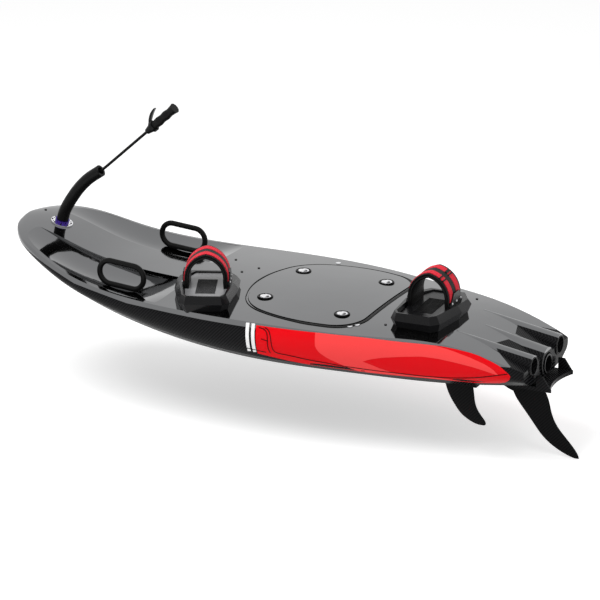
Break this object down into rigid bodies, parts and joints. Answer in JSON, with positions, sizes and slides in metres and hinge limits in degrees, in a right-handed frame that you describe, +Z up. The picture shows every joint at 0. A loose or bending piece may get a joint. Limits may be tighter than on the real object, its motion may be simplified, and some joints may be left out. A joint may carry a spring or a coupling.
{
  "type": "jet-driven surfboard",
  "caption": "Motor surfboard with a decked carbon hull, engine hatch, two foot bindings, grab handles, jet pump, exhausts, ride plate, fins and nose control arm.",
  "frame": {"origin": "on the centreline at the waterline amidships, where the hull floats level", "axes": "+X to the nose, +Y to port, +Z up"},
  "size_m": [1.8663, 0.6689, 0.9346],
  "materials": {
    "deck_grey": "gloss clear coat over grey",
    "carbon": "clear-coated carbon twill",
    "rubber": "satin",
    "cast_metal": "satin",
    "anodised": "satin",
    "steel": "satin",
    "black_plastic": "semi gloss",
    "fin_black": "satin carbon",
    "strap_fabric": "woven",
    "chrome": "polished",
    "purple_anodised": "anodised",
    "hose_black": "satin"
  },
  "bodies": {
    "hull": {"binding_base_front": "black_plastic", "binding_base_rear": "black_plastic", "centre_fin": "fin_black", "control_hose": "hose_black", "deck_plugs": "black_plastic", "engine_block": "cast_metal", "exhaust_port": "carbon", "exhaust_starboard": "carbon", "filler_caps": "chrome", "foot_bed_front": "rubber", "foot_bed_rear": "rubber", "grab_handle_port": "rubber", "grab_handle_starboard": "rubber", "hatch_seal": "rubber", "hull_bow": "carbon", "hull_deck": "deck_grey", "hull_middle": "carbon", "hull_tail": "carbon", "intake_grille": "anodised", "jet_nozzle": "black_plastic", "nose_collar": "purple_anodised", "nose_flange": "chrome", "pump_housing": "anodised", "ride_plate": "carbon", "side_fin_port": "fin_black", "side_fin_starboard": "fin_black", "stator": "anodised", "strap_brackets_front": "black_plastic", "strap_brackets_rear": "black_plastic", "strap_front": "strap_fabric", "strap_rear": "strap_fabric", "throttle_cable": "hose_black", "throttle_grip": "rubber", "throttle_trigger": "black_plastic"},
    "impeller": {"impeller": "steel"},
    "hatch": {"hatch_lid": "deck_grey", "latch_front_port": "chrome", "latch_front_starboard": "chrome", "latch_rear_port": "chrome", "latch_rear_starboard": "chrome"}
  },
  "joints": [
    {"name": "impeller_spin", "type": "hinge", "parent": "hull", "child": "impeller", "pos_m": [-0.7, 0, -0.02], "axis": [1, 0, 0], "continuous": true},
    {"name": "hatch_lift", "type": "slide", "parent": "hull", "child": "hatch", "axis": [0, 0, 1], "range_m": [0, 0.15]}
  ]
}
